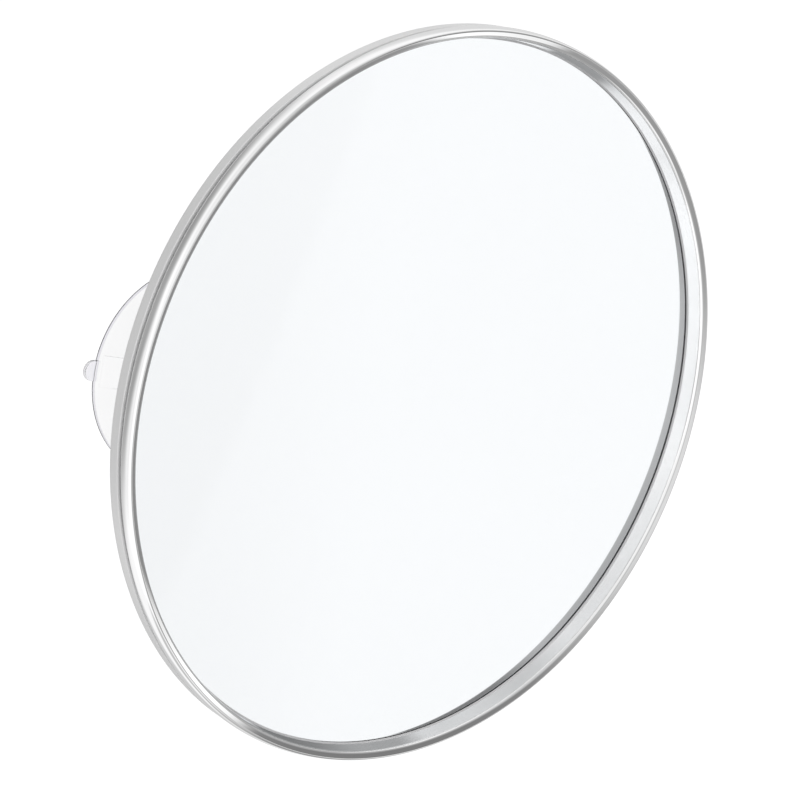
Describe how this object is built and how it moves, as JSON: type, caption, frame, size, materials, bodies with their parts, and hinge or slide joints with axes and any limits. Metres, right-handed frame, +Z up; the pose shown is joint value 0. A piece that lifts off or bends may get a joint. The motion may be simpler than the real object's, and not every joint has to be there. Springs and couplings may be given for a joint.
{
  "type": "magnifying mirror",
  "caption": "Round concave magnifying mirror with a chrome bezel, a satin rear shell and clear suction cups that hold it to a wall.",
  "frame": {"origin": "centre of the wall plane that the suction cups' contact rings meet, on the mirror's own axis", "axes": "+Z up, the mirror faces -Y, +Y into the wall, +X to the right of someone looking into the mirror"},
  "size_m": [0.17, 0.0261, 0.17],
  "materials": {
    "polished_chrome": "polished chrome plate",
    "satin_silver": "satin silver coat on moulded plastic",
    "clear_glass": "polished clear glass",
    "mirror_silver": "silvered, painted behind",
    "white_foam": "closed-cell foam",
    "clear_pvc": "clear soft vinyl, glossy"
  },
  "bodies": {
    "mirror_head": {"front_bezel": "polished_chrome", "mirror_glass": "clear_glass", "silver_layer": "mirror_silver", "foam_ring": "white_foam", "foam_pad_1": "white_foam", "foam_pad_2": "white_foam", "foam_pad_3": "white_foam", "rear_shell": "satin_silver"},
    "right_cup": {"suction_cup_right": "clear_pvc"},
    "left_cup": {"suction_cup_left": "clear_pvc"},
    "bottom_cup": {"suction_cup_bottom": "clear_pvc"}
  },
  "joints": [
    {"name": "right_cup_swivel", "type": "hinge", "parent": "mirror_head", "child": "right_cup", "pos_m": [0.04633, 0, 0.02675], "axis": [0, 1, 0], "continuous": true},
    {"name": "left_cup_swivel", "type": "hinge", "parent": "mirror_head", "child": "left_cup", "pos_m": [-0.04633, 0, 0.02675], "axis": [0, 1, 0], "continuous": true},
    {"name": "bottom_cup_swivel", "type": "hinge", "parent": "mirror_head", "child": "bottom_cup", "pos_m": [0, 0, -0.0535], "axis": [0, 1, 0], "continuous": true}
  ]
}
